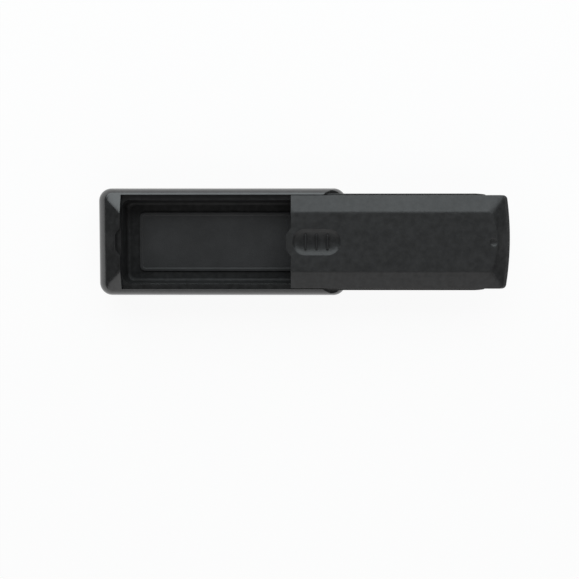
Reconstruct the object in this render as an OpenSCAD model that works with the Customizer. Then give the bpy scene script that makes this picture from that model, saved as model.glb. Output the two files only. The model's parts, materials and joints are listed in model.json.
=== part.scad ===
// Key case with a sliding lid and two magnets under its floor.
// Frame: the origin is the middle of the underside, +X points to the end where the lid slides out,
// +Y to the rear side and +Z up. Millimetres. The lid is drawn slid out to its stop.

/* [Case] */
// Overall length of the case
case_l = 133; // [120:1:170]
// Overall width of the case
case_w = 57.5; // [54:0.5:70]
// Height of the side rims above the underside
rim_h = 22; // [20:0.5:34]
// Plan radius of the case's corners
corner_r = 6.8; // [6:0.1:9]
// Size of the rounding along the outer bottom edge
foot_r = 1.5; // [0.5:0.1:2.5]
// Height over which the walls round over towards the rims
shoulder_h = 8; // [4:0.5:11]
// How far the long walls draw in at the rims
side_shoulder = 2.8; // [1.5:0.1:3]
// How far the end walls draw in at the rims
end_shoulder = 4.6; // [2:0.1:5]
// Length of the fixed block at the closed end
block_l = 13.3; // [11:0.1:20]

/* [Cavity] */
// Thickness of the floor over the magnet pockets
floor_wall = 1.6; // [1:0.1:3]
// Plan radius of the cavity's corners
cavity_r = 4; // [3:0.1:6]
// Rounding between the cavity's floor and walls
cavity_fillet = 2; // [0.5:0.1:3]
// How much further out the cavity's walls stand at the top than at the floor
cavity_draft = 0.5; // [0:0.1:1]
// Thickness of the end wall that the lid slides over, at the case's longest point
end_wall = 5; // [4:0.1:8]

/* [Slide] */
// Width of the lid between the rims
lid_w = 49.6; // [46:0.1:50.5]
// Depth of the lid's channel below the top of the rims
channel_d = 2.6; // [2.2:0.1:4]
// Width of the ledge on each side that carries the lid
ledge_w = 2.8; // [2:0.1:4]
// How far each runner stands out of the lid's side
runner_w = 0.9; // [0.5:0.1:1.1]
// Thickness of each runner
runner_t = 1.1; // [0.6:0.1:1.3]
// Side clearance between the lid and the rims
side_gap = 0.25; // [0.15:0.05:0.4]
// Clearance above and below the runners
runner_gap = 0.2; // [0.1:0.05:0.3]
// Clearance between the lid's closed end and the block
seam_gap = 0.25; // [0.15:0.05:0.5]
// Distance from the case's open end to the end of the rims
rim_stop = 8.7; // [7:0.1:12]
// Length over which each rim rounds down to the ledge
rim_fall = 5.8; // [3:0.1:9]
// Travel of the lid from closed to its stop
lid_travel = 90; // [70:1:100]

/* [Crown] */
// Rise of the crown above the rims
crown_rise = 3.6; // [2:0.1:5]
// Width of the sloped band along each long side of the crown
side_slope = 9.1; // [6:0.1:12]
// Length of the slope at the block's end
block_slope = 4.6; // [3:0.1:7]
// Length of the slope at the lid's nose, above the rims
nose_slope = 5.1; // [3:0.1:8]
// How much further the nose reaches below the rims
nose_reach = 2.1; // [1:0.1:3]
// Thickness of the nose's lip
nose_lip = 0.8; // [0.5:0.1:1.2]
// Distance from the case's closed end to the foot of the crown
crown_in = 5.2; // [5:0.1:7]
// Distance from the case's open end to the closed lid's nose
nose_in = 3.2; // [2:0.1:4]
// How far the nose's middle stands ahead of its corners
nose_bow = 1.6; // [0.5:0.1:3]
// How far the middle of each end of the flat top stands ahead of its corners
flat_bow = 3; // [1:0.1:4]
// Plan radius at the crown's foot
crown_foot_r = 2.4; // [1:0.1:3]
// Plan radius of the flat top's corners
crown_top_r = 3.6; // [2:0.1:5]

/* [Lid] */
// Wall thickness of the lid
lid_wall = 1.8; // [1.2:0.1:2.4]
// Width of the thick flange along each side of the lid
flange_w = 2.4; // [1.8:0.1:4]
// How much the lid's hollow draws in from its mouth to the eaves, and from there to its top
lid_draft = 0.3; // [0.1:0.1:0.5]
// Length of the tongue at the lid's closed end
tongue_l = 2.6; // [1.5:0.1:4]
// Width of the tongue at its root
tongue_root = 14.8; // [10:0.1:20]
// Width of the tongue at its tip
tongue_tip = 7.4; // [4:0.1:9.5]
// Thickness of the tongue
tongue_t = 3; // [2:0.1:3.4]
// Width of each stop lug
lug_w = 6; // [3:0.1:8]
// Thickness of each stop lug
lug_t = 3; // [2:0.1:5]
// Depth of each stop lug below the lid's underside
lug_d = 1.5; // [1:0.1:2.5]
// Distance of each stop lug's middle from the lid's centre line
lug_y = 15; // [10:0.5:17]

/* [Finger scoop] */
// Length of the scoop along the lid
scoop_l = 25; // [20:0.1:26]
// Width of the scoop
scoop_w = 13.4; // [10:0.1:18]
// Depth of the scoop
scoop_d = 2; // [1:0.1:2.4]
// Distance from the lid's closed end to the scoop's middle
scoop_in = 13.6; // [13.4:0.1:22]
// Number of grip ribs in the scoop
grip_n = 3; // [1:1:5]
// Spacing of the grip ribs
grip_pitch = 5.8; // [3:0.1:6]
// Thickness of each grip rib
grip_t = 1.1; // [0.6:0.1:1.6]
// Length of each grip rib
grip_l = 8; // [5:0.1:10]
// Depth of the ribs' tops below the flat top
grip_sink = 0.6; // [0.3:0.1:0.9]
// Diameter of the round dimple near the nose
dimple_dia = 4.4; // [3:0.1:5]
// Depth of the dimple
dimple_d = 0.5; // [0.2:0.1:0.8]
// Distance from the nose to the dimple's middle
dimple_in = 9.6; // [9.5:0.1:14]

/* [Magnets] */
// Length of each magnet and its pole plates
magnet_l = 36; // [24:1:40]
// Width of each magnet
magnet_w = 20; // [14:0.5:24]
// Thickness of each magnet
magnet_t = 4.6; // [3:0.1:4.8]
// Thickness of each pole plate
pole_t = 1.6; // [1:0.1:2.5]
// How far the pole plates stand proud of the magnet, down to the rest face
pole_proud = 0.4; // [0.1:0.1:0.8]
// Thickness of each adhesive pad
pad_t = 0.6; // [0.3:0.1:1]
// Clearance round each magnet set in its pocket
pocket_gap = 0.3; // [0.1:0.1:0.6]
// Distance between the middles of the two magnets
magnet_pitch = 54; // [50:1:62]

/* [Floor liner] */
// Length of the liner on the cavity's floor
liner_l = 100; // [60:1:106]
// Width of the liner
liner_w = 32; // [20:0.5:36]
// Thickness of the liner
liner_t = 0.8; // [0.3:0.1:1.2]
// Plan radius of the liner's corners
liner_r = 3; // [1:0.1:6]

/* [Hollows in the underside] */
// Wall thickness round the hollows
core_wall = 1.8; // [1.4:0.1:2]
// Thickness of the ribs between the hollows
core_rib = 1.5; // [1:0.1:2.5]
// Height of the hollows in the side walls
side_core_h = 15; // [8:0.5:16]
// Height of the hollows in the end block
block_core_h = 16; // [10:0.5:17]
// Number of hollows in each side wall
side_core_n = 5; // [4:1:8]
// Number of hollows in the end block
block_core_n = 4; // [4:1:6]

/* [Hidden] */

// A cut reaches this far past the face it opens
over = 0.5;
// Each level of a rounded form is a slice of this height
skin = 0.1;
// Sides of the round corner posts
post_fn = 32;
// Steps in each rounded profile
arc_n = 6;
// Steps in the small rounding along the outer bottom edge and round the cavity's floor
edge_n = 3;
// Steps from the middle of each bowed end to its corner
bow_n = 4;
// Sides of the round forms that aren't part of a hull
round_fn = 96;
// Sweep of the shoulder's arc
shoulder_sweep = 62;

half_l = case_l / 2;
half_w = case_w / 2;
ledge_z = rim_h - channel_d;
channel_half = lid_w / 2 + side_gap;
cavity_half = channel_half - ledge_w;
block_x = -half_l + block_l;
cavity_x0 = block_x - seam_gap;
cavity_x1 = half_l - end_wall;
rim_end_x = half_l - rim_stop;
groove_h = runner_t + 2 * runner_gap;
groove_half = channel_half + runner_w;

lid_z = ledge_z + runner_gap;
lid_half = lid_w / 2;
crown_z = rim_h + crown_rise;
nose_x = half_l - nose_in;
crown_x0 = -half_l + crown_in;
flat_x0 = crown_x0 + block_slope;
flat_x1 = nose_x - nose_reach - nose_slope;
flat_half = lid_half - side_slope;

pocket_z = pole_proud + magnet_t + pad_t;
floor_z = pocket_z + floor_wall;
pocket_half_l = magnet_l / 2 + pocket_gap;
pocket_half_w = magnet_w / 2 + pole_t + pocket_gap;

plastic_black = [0.11, 0.11, 0.115];
ferrite_grey = [0.2, 0.2, 0.21];
zinc_steel = [0.6, 0.61, 0.62];
pad_grey = [0.75, 0.75, 0.72];
liner_grey = [0.15, 0.15, 0.155];

// A slice with round corners: x0 to x1, half-width w, corner radius r, top at z
module slice(x0, x1, w, r, z) {
    for (x = [x0 + r, x1 - r], y = [-w + r, w - r])
        translate([x, y, z - skin])
            cylinder(r = r, h = skin, $fn = post_fn);
}

// A slice with bowed ends: the middles of its ends stand bow0 and bow1 ahead of the corners
module bowed_slice(x0, x1, w, r, z, bow0, bow1) {
    slice(x0 + bow0, x1 - bow1, w, r, z);
    for (i = [1 - bow_n:bow_n - 1]) {
        t = i / bow_n;
        translate([x0 + r + bow0 * t * t, t * (w - r), z - skin])
            cylinder(r = r, h = skin, $fn = post_fn);
        translate([x1 - r - bow1 * t * t, t * (w - r), z - skin])
            cylinder(r = r, h = skin, $fn = post_fn);
    }
}

// The case's outside, up to the rims
module case_outside() {
    shoulder_z = rim_h - shoulder_h;
    hull() {
        for (i = [0:edge_n]) {
            a = 90 * i / edge_n;
            cut = foot_r * (1 - sin(a));
            slice(-half_l + cut, half_l - cut, half_w - cut, corner_r - cut,
                  max(skin, foot_r * (1 - cos(a))));
        }
        for (i = [0:arc_n]) {
            a = shoulder_sweep * i / arc_n;
            share = (1 - cos(a)) / (1 - cos(shoulder_sweep));
            end_cut = end_shoulder * share;
            side_cut = side_shoulder * share;
            slice(-half_l + end_cut, half_l - end_cut, half_w - side_cut,
                  corner_r - side_cut, shoulder_z + shoulder_h * sin(a) / sin(shoulder_sweep));
        }
    }
}

// The raised crown that the end block and the closed lid share
module crown() {
    hull() {
        bowed_slice(crown_x0, nose_x, lid_half, crown_foot_r, lid_z + skin, 0, nose_bow);
        bowed_slice(crown_x0, nose_x, lid_half, crown_foot_r, lid_z + nose_lip, 0, nose_bow);
        bowed_slice(crown_x0, nose_x - nose_reach, lid_half, crown_foot_r, rim_h, 0, nose_bow);
        bowed_slice(flat_x0, flat_x1, flat_half, crown_top_r, crown_z, flat_bow, flat_bow);
    }
}

// Plan of the lid's tongue, grown by g
module tongue_plan(g) {
    polygon([[over + g, -tongue_root / 2 - g], [0, -tongue_root / 2 - g],
             [-tongue_l - g, -tongue_tip / 2 - g], [-tongue_l - g, tongue_tip / 2 + g],
             [0, tongue_root / 2 + g], [over + g, tongue_root / 2 + g]]);
}

// The tongue's space, grown by g on its sides and below
module tongue_space(g) {
    translate([block_x, 0, crown_z - tongue_t - g])
        linear_extrude(height = tongue_t + g + over)
            tongue_plan(g);
}

// The key space, with drafted walls and a rounded floor edge
module cavity() {
    top_z = ledge_z + over;
    hull() {
        for (i = [0:edge_n]) {
            a = 90 * i / edge_n;
            cut = cavity_draft + cavity_fillet * (1 - sin(a));
            slice(cavity_x0 + cut, cavity_x1 - cut, cavity_half - cut, cavity_r,
                  floor_z + skin + cavity_fillet * (1 - cos(a)));
        }
        slice(cavity_x0, cavity_x1, cavity_half, cavity_r, top_z);
    }
}

// The channel between the rims, with a groove on each side for the lid's runners
module lid_channel() {
    run = case_l;
    translate([cavity_x0, -channel_half, ledge_z])
        cube([run, 2 * channel_half, crown_rise + channel_d + over]);
    translate([cavity_x0, -groove_half, ledge_z])
        cube([run, 2 * groove_half, groove_h]);
}

// What is cut away where the rims round down to the low open end
module rim_runout() {
    fall = channel_d;
    arc_r = (rim_fall * rim_fall + fall * fall) / (2 * fall);
    sweep = asin(rim_fall / arc_r);
    start_x = rim_end_x - rim_fall;
    curve = [for (i = [0:arc_n])
        let (a = sweep * i / arc_n)
            [start_x + arc_r * sin(a), rim_h - arc_r * (1 - cos(a))]];
    translate([0, case_w, 0])
        rotate([90, 0, 0])
            linear_extrude(height = 2 * case_w)
                polygon(concat(curve, [[half_l + over, ledge_z], [half_l + over, rim_h + over],
                                       [start_x, rim_h + over]]));
}

// Pocket for one magnet set
module magnet_pocket(side) {
    translate([side * magnet_pitch / 2 - pocket_half_l, -pocket_half_w, -over])
        cube([2 * pocket_half_l, 2 * pocket_half_w, pocket_z + over]);
}

// Hollows in the two side walls
module side_cores() {
    y0 = cavity_half + core_wall;
    y1 = half_w - core_wall;
    x0 = cavity_x0 + core_wall;
    cell = (cavity_x1 - x0 + core_rib) / side_core_n;
    for (i = [0:side_core_n - 1], side = [-1, 1])
        translate([x0 + i * cell, side > 0 ? y0 : -y1, -over])
            cube([cell - core_rib, y1 - y0, side_core_h + over]);
}

// Hollows in the end block
module block_cores() {
    x0 = -half_l + core_wall;
    x1 = cavity_x0 - core_wall;
    span = case_w - 2 * corner_r;
    cell = (span + core_rib) / block_core_n;
    for (i = [0:block_core_n - 1])
        translate([x0, -span / 2 + i * cell, -over])
            cube([x1 - x0, cell - core_rib, block_core_h + over]);
}

// The fixed tray: outside, end block, cavity, slide and pockets
module case_tray() {
    color(plastic_black)
        difference() {
            union() {
                case_outside();
                intersection() {
                    crown();
                    translate([-case_l, -half_w, 0])
                        cube([case_l + cavity_x0, case_w, 2 * crown_z]);
                }
            }
            lid_channel();
            cavity();
            rim_runout();
            tongue_space(seam_gap);
            magnet_pocket(-1);
            magnet_pocket(1);
            side_cores();
            block_cores();
        }
}

// The lid's hollow underside: lid_wall below the crown, between the side flanges
module lid_hollow() {
    inner_half = lid_half - flange_w;
    eaves_z = rim_h + flange_w * crown_rise / side_slope - lid_wall;
    x0 = block_x + lid_wall;
    x1 = nose_x - nose_reach - nose_bow - lid_wall;
    hull() {
        slice(x0, x1 + lid_draft, inner_half + lid_draft, crown_foot_r, lid_z - over);
        slice(x0 + lid_draft, x1, inner_half, crown_foot_r, eaves_z);
        slice(x0 + 2 * lid_draft, flat_x1 - flat_bow, flat_half, crown_foot_r, crown_z - lid_wall);
    }
}

// A dish with round ends, scoop_l long, whose rim lies at z = 0; grown by g
module dish(g) {
    hull()
        for (i = [0:arc_n - 1]) {
            a = 90 * i / arc_n;
            w = (scoop_w / 2 + g) * cos(a);
            end_x = (scoop_l - scoop_w) / 2 + w;
            slice(-end_x, end_x, w, w - skin, -(scoop_d + g) * sin(a) + (i == 0 ? skin : 0));
        }
}

// Ribs that give the finger its hold in the scoop
module grip_ribs() {
    for (i = [0:grip_n - 1])
        translate([(i - (grip_n - 1) / 2) * grip_pitch - grip_t / 2, -grip_l / 2,
                   -scoop_d - lid_wall / 2])
            cube([grip_t, grip_l, scoop_d + lid_wall / 2 - grip_sink]);
}

// One stop lug, from bottom_z to top_z
module stop_lug(side, bottom_z, top_z) {
    lug_x = cavity_x1 - side_gap - lug_t - lid_travel;
    translate([lug_x, side * lug_y - lug_w / 2, bottom_z])
        cube([lug_t, lug_w, top_z - bottom_z]);
}

// The lid's cover: its crown, hollow beneath, with the lugs' roots left standing
module lid_cover() {
    difference() {
        intersection() {
            crown();
            union() {
                translate([block_x, -case_w, 0])
                    cube([2 * case_l, 2 * case_w, 2 * crown_z]);
                tongue_space(0);
            }
        }
        difference() {
            lid_hollow();
            for (side = [-1, 1])
                stop_lug(side, 0, 2 * crown_z);
        }
    }
}

// A runner along one side of the lid
module runner(side) {
    x0 = block_x + lid_wall;
    run = rim_end_x - rim_fall - lid_wall - x0;
    translate([x0, side > 0 ? lid_half - over : -lid_half - runner_w, lid_z])
        cube([run, runner_w + over, runner_t]);
}

// The lid in its closed place
module closed_lid() {
    scoop_x = block_x + scoop_in;
    difference() {
        union() {
            lid_cover();
            translate([scoop_x, 0, crown_z - lid_wall / 2])
                dish(lid_wall / 2);
        }
        translate([scoop_x, 0, crown_z])
            dish(0);
        translate([nose_x - dimple_in, 0, crown_z])
            dimple();
    }
    translate([scoop_x, 0, crown_z])
        grip_ribs();
    for (side = [-1, 1]) {
        runner(side);
        stop_lug(side, lid_z - lug_d, rim_h);
    }
}

// The shallow round dimple
module dimple() {
    r = (dimple_dia * dimple_dia / 4 + dimple_d * dimple_d) / (2 * dimple_d);
    translate([0, 0, r - dimple_d])
        sphere(r = r, $fn = round_fn);
}

// The lid, slid out to its stop
module sliding_lid() {
    color(plastic_black)
        translate([lid_travel, 0, 0])
            closed_lid();
}

// One magnet block
module magnet(side) {
    color(ferrite_grey)
        translate([side * magnet_pitch / 2 - magnet_l / 2, -magnet_w / 2, pole_proud])
            cube([magnet_l, magnet_w, magnet_t]);
}

// One steel plate beside a magnet; flank is +1 on the rear side and -1 on the front side
module pole_plate(side, flank) {
    color(zinc_steel)
        translate([side * magnet_pitch / 2 - magnet_l / 2,
                   flank > 0 ? magnet_w / 2 : -magnet_w / 2 - pole_t, 0])
            cube([magnet_l, pole_t, pocket_z]);
}

// The pad that bonds a magnet into its pocket
module adhesive_pad(side) {
    color(pad_grey)
        translate([side * magnet_pitch / 2 - magnet_l / 2, -magnet_w / 2, pole_proud + magnet_t])
            cube([magnet_l, magnet_w, pad_t]);
}

// The plain liner on the cavity's floor
module floor_liner() {
    mid_x = (cavity_x0 + cavity_x1) / 2;
    color(liner_grey)
        translate([mid_x, 0, floor_z])
            linear_extrude(height = liner_t)
                union() {
                    square([liner_l - 2 * liner_r, liner_w], center = true);
                    square([liner_l, liner_w - 2 * liner_r], center = true);
                    for (x = [-1, 1], y = [-1, 1])
                        translate([x * (liner_l / 2 - liner_r), y * (liner_w / 2 - liner_r)])
                            circle(r = liner_r, $fn = round_fn);
                }
}

case_tray();
sliding_lid();
magnet(-1);  // magnet_left
magnet(1);  // magnet_right
pole_plate(-1, 1);  // pole_plate_left_rear
pole_plate(-1, -1);  // pole_plate_left_front
pole_plate(1, 1);  // pole_plate_right_rear
pole_plate(1, -1);  // pole_plate_right_front
adhesive_pad(-1);  // adhesive_pad_left
adhesive_pad(1);  // adhesive_pad_right
floor_liner();
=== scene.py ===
"""The looks of a key case with a sliding lid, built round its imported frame.

Every shape is made in millimetres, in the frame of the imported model, and scaled to metres when the
piece is finished. The lid is shaped in its closed place and then slid out to where the frame has it.
"""

import json
import logging
import math
from dataclasses import dataclass, replace
from enum import Enum
from typing import Callable, Iterable, Sequence

import bmesh
import bpy
from bmesh.types import BMesh
from bpy.types import Material, Object
from mathutils import Matrix, Vector


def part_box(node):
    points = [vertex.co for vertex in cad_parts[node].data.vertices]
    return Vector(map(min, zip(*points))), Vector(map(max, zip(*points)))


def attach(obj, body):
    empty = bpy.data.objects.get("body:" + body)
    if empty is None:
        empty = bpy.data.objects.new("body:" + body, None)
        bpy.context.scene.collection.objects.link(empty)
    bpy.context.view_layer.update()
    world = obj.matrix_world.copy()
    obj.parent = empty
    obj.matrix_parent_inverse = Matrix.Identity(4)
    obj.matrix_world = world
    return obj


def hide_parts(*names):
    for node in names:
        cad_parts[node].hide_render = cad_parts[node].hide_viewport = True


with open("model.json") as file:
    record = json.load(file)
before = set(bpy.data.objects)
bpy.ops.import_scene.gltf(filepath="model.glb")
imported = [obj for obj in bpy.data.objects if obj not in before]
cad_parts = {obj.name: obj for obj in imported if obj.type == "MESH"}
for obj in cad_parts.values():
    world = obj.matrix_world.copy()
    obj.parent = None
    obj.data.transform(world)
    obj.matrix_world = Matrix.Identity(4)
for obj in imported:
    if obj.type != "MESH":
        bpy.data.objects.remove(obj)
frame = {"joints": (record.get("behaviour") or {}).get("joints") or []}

log = logging.getLogger("key_case")

MM = 0.001  # Metres in a millimetre
MERGE = 0.004  # Points closer than this are one
OVER = 0.5  # How far a cut reaches past the face that it opens
SHARP = math.radians(35)  # Edges that turn by more than this stay sharp

Colour = tuple[float, float, float]
Limits = tuple[float, float, float, float, float, float]  # Lowest and highest x, y and z, in turn
Socket = bpy.types.NodeSocket


class Operation(Enum):
    """How one solid is combined with another."""

    CUT = "DIFFERENCE"
    JOIN = "UNION"
    KEEP = "INTERSECT"


class End(Enum):
    """The two magnet sets, named from the closed end."""

    LEFT = -1
    RIGHT = 1


class Flank(Enum):
    """The two long sides of a magnet."""

    REAR = 1
    FRONT = -1


# ---- Shapes ----


@dataclass(frozen=True)
class Steps:
    """How finely a lofted form is divided."""

    end: int  # Steps across each short end
    corner: int  # Steps round each corner
    side: int  # Steps along each long side
    ease: int = 4  # Steps across each rounded crease


@dataclass(frozen=True)
class Edges:
    """How the edges of a bar are rounded."""

    corner: float  # Radius of the upright edges
    ease: float  # How far the edges round its bottom and top are rounded
    mouth: float = 0.0  # How far it flares below z = 0, where it cuts a hollow


FINE = Steps(end=20, corner=12, side=48, ease=5)
SMALL = Steps(end=2, corner=4, side=2, ease=3)


@dataclass(frozen=True)
class Level:
    """A rounded rectangle at one height, with ends that may bow outwards."""

    x0: float  # Lowest x, at the middle of that end
    x1: float  # Highest x, at the middle of that end
    half_w: float  # Half the width
    corner: float  # Radius of the corners
    z: float  # Height
    bow0: float = 0.0  # How far the middle of the x0 end stands ahead of its corners
    bow1: float = 0.0  # How far the middle of the x1 end stands ahead of its corners
    ease: float = 0.0  # How far the crease at this level is rounded to each side

    def inset(self, by: float) -> "Level":
        """Returns the same outline drawn in by that much, at the same height."""
        plan = {"x0": self.x0 + by, "x1": self.x1 - by, "half_w": self.half_w - by}
        return replace(self, **plan, corner=max(self.corner - by, MERGE), ease=0.0)

    def _end(self, sign: int, t: float) -> tuple[Vector, float]:
        """Finds where an end's rounding is centred, and which way it faces there.

        Args:
            sign: 1 for the x1 end and -1 for the x0 end.
            t: Place across the end, from -1 to 1.

        Returns:
            The centre and the facing angle.
        """
        bow = self.bow1 if sign > 0 else self.bow0
        edge = self.x1 if sign > 0 else self.x0
        reach = max(self.half_w - self.corner, MERGE)
        centre = Vector((edge - sign * (self.corner + bow * t * t), t * reach, self.z))
        return centre, math.atan2(2 * bow * t, sign * reach)

    def ring(self, count: Steps) -> list[Vector]:
        """Goes once round the outline, anticlockwise from above.

        Args:
            count: How many steps each stretch has.

        Returns:
            The points, as many for each level of one loft.
        """

        def arc(centre: Vector, start: float, sweep: float, steps: Iterable[float]) -> list[Vector]:
            """Returns points on a corner's arc, at shares of its sweep."""
            turns = [start + sweep * s for s in steps]
            return [centre + self.corner * Vector((math.cos(a), math.sin(a), 0)) for a in turns]

        points = []
        for sign in (1, -1):
            for i in range(count.end + 1):
                centre, facing = self._end(sign, sign * (2 * i / count.end - 1))
                points += arc(centre, facing, 0, [0])
            centre, facing = self._end(sign, sign)
            quarter = math.pi / 2 if sign > 0 else 3 * math.pi / 2
            sweep = (quarter - facing) % (2 * math.pi)
            points += arc(centre, facing, sweep, [i / count.corner for i in range(1, count.corner + 1)])
            across, turned = self._end(-sign, sign)
            start = points[-1]
            stop = arc(across, quarter, 0, [0])[0]
            points += [start.lerp(stop, i / count.side) for i in range(1, count.side)]
            sweep = (turned - quarter) % (2 * math.pi)
            points += arc(across, quarter, sweep, [i / count.corner for i in range(count.corner)])
        return points


def eased(before: Vector, crease: Vector, after: Vector, ease: float, steps: int) -> list[Vector]:
    """Rounds the crease in one column of a loft.

    Args:
        before: The column's point on the level below.
        crease: Its point on the crease.
        after: Its point on the level above.
        ease: How far the rounding reaches to each side.
        steps: Steps across the rounding.

    Returns:
        The points across the rounding, from below to above.
    """
    most = 0.49
    reach = [min(ease, most * (other - crease).length) for other in (before, after)]
    start = crease + (before - crease).normalized() * reach[0]
    stop = crease + (after - crease).normalized() * reach[1]
    shares = [i / steps for i in range(steps + 1)]
    return [start.lerp(crease, s).lerp(crease.lerp(stop, s), s) for s in shares]


def loft(levels: Sequence[Level], count: Steps) -> BMesh:
    """Raises a closed form through a row of levels.

    Args:
        levels: The outlines, from the first cap to the last.
        count: How finely the form is divided.

    Returns:
        The form, closed at both ends.
    """
    past = 2.1

    def beyond(level: Level) -> list[Vector]:
        """Returns points on a cap, towards which the crease round it is rounded."""
        inner = level.inset(level.ease).ring(count)
        return [a.lerp(b, past) for a, b in zip(level.ring(count), inner)]

    rings = [beyond(levels[0]), *(level.ring(count) for level in levels), beyond(levels[-1])]
    rows: list[list[Vector]] = []
    for k, level in enumerate(levels):
        if level.ease:
            around = zip(*rings[k : k + 3])
            columns = [eased(*three, level.ease, count.ease) for three in around]
            rows += [list(row) for row in zip(*columns)]
        else:
            rows.append(rings[k + 1])
    bm = bmesh.new()
    bmesh.ops.create_circle(bm, cap_ends=True, segments=len(rows[0]), radius=1)
    bm.faces.ensure_lookup_table()
    cap = bm.faces[0]
    for k, row in enumerate(rows):
        if k:
            under = cap
            raised = bmesh.ops.extrude_face_region(bm, geom=[under])["geom"]
            cap = next(part for part in raised if isinstance(part, bmesh.types.BMFace))
            if k > 1:
                bmesh.ops.delete(bm, geom=[under], context="FACES_ONLY")
        for vert, place in zip(cap.verts, row):
            vert.co = place
    bmesh.ops.remove_doubles(bm, verts=bm.verts, dist=MERGE)
    bmesh.ops.recalc_face_normals(bm, faces=bm.faces)
    return bm


def block(limits: Limits) -> BMesh:
    """Makes a plain block, as a tool for cutting.

    Args:
        limits: Where it begins and ends.

    Returns:
        The block.
    """
    x0, x1, y0, y1, z0, z1 = limits
    bm = bmesh.new()
    bmesh.ops.create_cube(bm, size=1)
    bmesh.ops.scale(bm, vec=(x1 - x0, y1 - y0, z1 - z0), verts=bm.verts)
    bmesh.ops.translate(bm, vec=((x0 + x1) / 2, (y0 + y1) / 2, (z0 + z1) / 2), verts=bm.verts)
    return bm


def bar(limits: Limits, edges: Edges) -> BMesh:
    """Makes a block whose edges are all rounded.

    Args:
        limits: Where it begins and ends.
        edges: How its edges are rounded.

    Returns:
        The bar.
    """
    x0, x1, y0, y1, z0, z1 = limits
    high = Level(x0, x1, (y1 - y0) / 2, edges.corner, z1, ease=edges.ease)
    levels = [replace(high, z=z0), high]
    if edges.mouth:
        flared = replace(high, z=0.0).inset(-edges.mouth)
        levels = [replace(flared, z=z0), flared, replace(high, z=edges.mouth, ease=0.0), high]
    bm = loft(levels, SMALL)
    bmesh.ops.translate(bm, vec=(0, (y0 + y1) / 2, 0), verts=bm.verts)
    return bm


class Solid:
    """A closed mesh in millimetres, while it is being shaped."""

    def __init__(self, *forms: BMesh) -> None:
        """Gathers forms into one solid.

        Args:
            forms: The forms, which don't overlap. They are used up.
        """
        mesh = bpy.data.meshes.new("solid")
        whole = bmesh.new()
        for form in forms:
            part = bpy.data.meshes.new("part")
            form.to_mesh(part)
            form.free()
            whole.from_mesh(part)
            bpy.data.meshes.remove(part)
        whole.to_mesh(mesh)
        whole.free()
        self.body = bpy.data.objects.new("solid", mesh)
        bpy.context.scene.collection.objects.link(self.body)

    def combine(self, how: Operation, *tools: "Solid") -> "Solid":
        """Cuts, joins or keeps what the tools cover, and uses the tools up.

        Args:
            how: What is done with each tool.
            tools: The solids that this one is combined with.

        Returns:
            This solid.
        """
        for tool in tools:
            step = self.body.modifiers.new(how.name, "BOOLEAN")
            step.operation = how.value
            step.solver = "EXACT"
            step.object = tool.body
        graph = bpy.context.evaluated_depsgraph_get()
        shaped = bpy.data.meshes.new_from_object(self.body.evaluated_get(graph))
        self.body.modifiers.clear()
        worn = self.body.data
        self.body.data = shaped
        bpy.data.meshes.remove(worn)
        for tool in tools:
            tool.discard()
        return self

    def cut(self, *tools: "Solid") -> "Solid":
        """Takes the tools away from this solid."""
        return self.combine(Operation.CUT, *tools)

    def join(self, *tools: "Solid") -> "Solid":
        """Adds the tools to this solid."""
        return self.combine(Operation.JOIN, *tools)

    def keep(self, *tools: "Solid") -> "Solid":
        """Keeps only what lies inside every tool."""
        return self.combine(Operation.KEEP, *tools)

    def broken(self, width: float, where: Callable[[Vector], bool]) -> "Solid":
        """Rounds the sharp edges of one stretch.

        Args:
            width: How far each edge is drawn in.
            where: Whether a point lies in that stretch.

        Returns:
            This solid.
        """
        bm = bmesh.new()
        bm.from_mesh(self.body.data)
        bmesh.ops.remove_doubles(bm, verts=bm.verts, dist=MERGE)
        bmesh.ops.dissolve_degenerate(bm, dist=MERGE, edges=bm.edges)
        edges = [e for e in bm.edges if e.is_convex and e.calc_face_angle() > SHARP]
        edges = [e for e in edges if all(where(v.co) for v in e.verts)]
        top = max(v.co.z for v in bm.verts)
        bmesh.ops.bevel(
            bm,
            geom=edges,
            offset=width,
            offset_type="OFFSET",
            segments=2,
            profile=0.5,
            affect="EDGES",
            clamp_overlap=False,
            material=-1,
        )
        for vert in bm.verts:
            vert.co.z = min(vert.co.z, top)
        bm.to_mesh(self.body.data)
        bm.free()
        return self

    def slid(self, x: float) -> "Solid":
        """Moves this solid along X."""
        self.body.data.transform(Matrix.Translation((x, 0, 0)))
        return self

    def discard(self) -> None:
        """Removes this solid and its mesh."""
        mesh = self.body.data
        bpy.data.objects.remove(self.body)
        bpy.data.meshes.remove(mesh)


# ---- Finishes ----


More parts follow.
